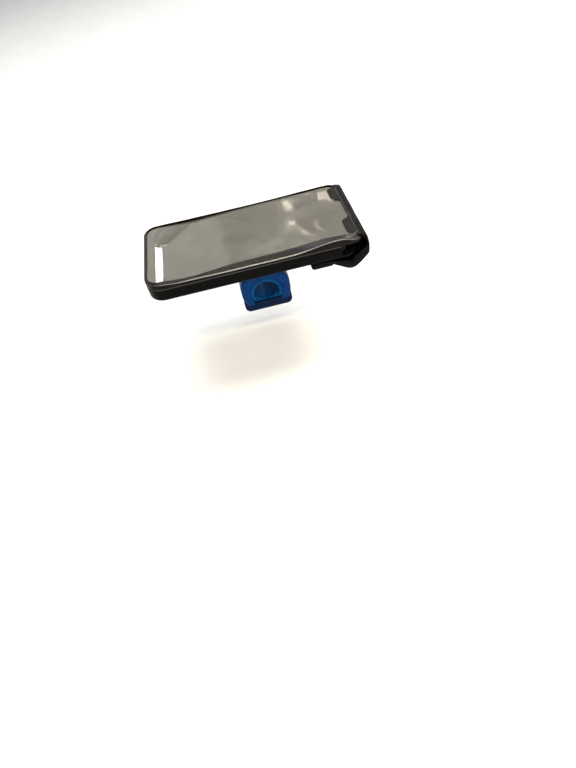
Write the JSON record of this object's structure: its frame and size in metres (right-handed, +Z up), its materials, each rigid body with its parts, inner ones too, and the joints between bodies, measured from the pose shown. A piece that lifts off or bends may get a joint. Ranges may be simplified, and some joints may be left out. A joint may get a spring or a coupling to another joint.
{
  "type": "phone handlebar mount",
  "caption": "Rain-proof phone case with a clear window and fold-over end flap, on a quarter-turn coupling and a two-part rubber-lined handlebar clamp.",
  "frame": {"origin": "on the axis of the handlebar clamp's bore, at the middle of its length", "axes": "+X along the handlebar to the rider's right, +Y to the front end of the case, away from the rider, +Z up out of the case's window"},
  "size_m": [0.087, 0.1772, 0.0707],
  "materials": {
    "clamp_blue": "satin moulded blue, softly rounded edges",
    "cap_navy": "satin moulded navy blue",
    "liner_blue": "matte soft blue rubber",
    "brass": "turned, knurled",
    "steel": "zinc plated screw steel",
    "coupling_black": "fine moulded grain",
    "damper_grey": "matte",
    "shell_black": "satin, fine grain",
    "plate_grey": "rolled, matte",
    "foam_black": "closed-cell foam with a napped face",
    "seal_grey": "matte cord",
    "border_black": "glossy soft plastic with a fine woven emboss",
    "film_clear": "clear flexible film, slightly wavy",
    "loop_black": "brushed loop tape",
    "hook_black": "moulded hook tape",
    "flap_black": "satin soft plastic with a fine woven emboss"
  },
  "bodies": {
    "mount": {"clamp_saddle": "clamp_blue", "liner_upper": "liner_blue", "thread_inserts": "brass", "twist_disc": "coupling_black", "disc_screws": "steel", "damping_ring": "damper_grey"},
    "cap": {"clamp_cap": "cap_navy", "liner_lower": "liner_blue", "cap_screws": "steel", "cap_washers": "steel"},
    "case": {"case_socket": "coupling_black", "socket_screws": "steel", "back_shell": "shell_black", "back_plate": "plate_grey", "foam_pad": "foam_black", "side_pads": "foam_black", "rim_seal": "seal_grey", "window_frame": "border_black", "window_film": "film_clear", "mouth_rim": "border_black", "loop_patch": "loop_black"},
    "flap": {"flap_nose": "flap_black"},
    "tongue": {"flap_tongue": "flap_black", "hook_patch": "hook_black", "pull_tab": "flap_black"}
  },
  "joints": [
    {"name": "cap_release", "type": "slide", "parent": "mount", "child": "cap", "axis": [0, 0, -1], "range_m": [0, 0.025]},
    {"name": "case_twist", "type": "hinge", "parent": "mount", "child": "case", "pos_m": [0, 0, 0.026], "axis": [0, 0, 1], "range_deg": [0, 90]},
    {"name": "flap_hinge", "type": "hinge", "parent": "case", "child": "flap", "pos_m": [0, -0.0829, 0.0472], "axis": [-1, 0, 0], "range_deg": [0, 150]},
    {"name": "tongue_fold", "type": "hinge", "parent": "flap", "child": "tongue", "pos_m": [0, -0.0844, 0.031], "axis": [-1, 0, 0], "range_deg": [0, 120]}
  ]
}
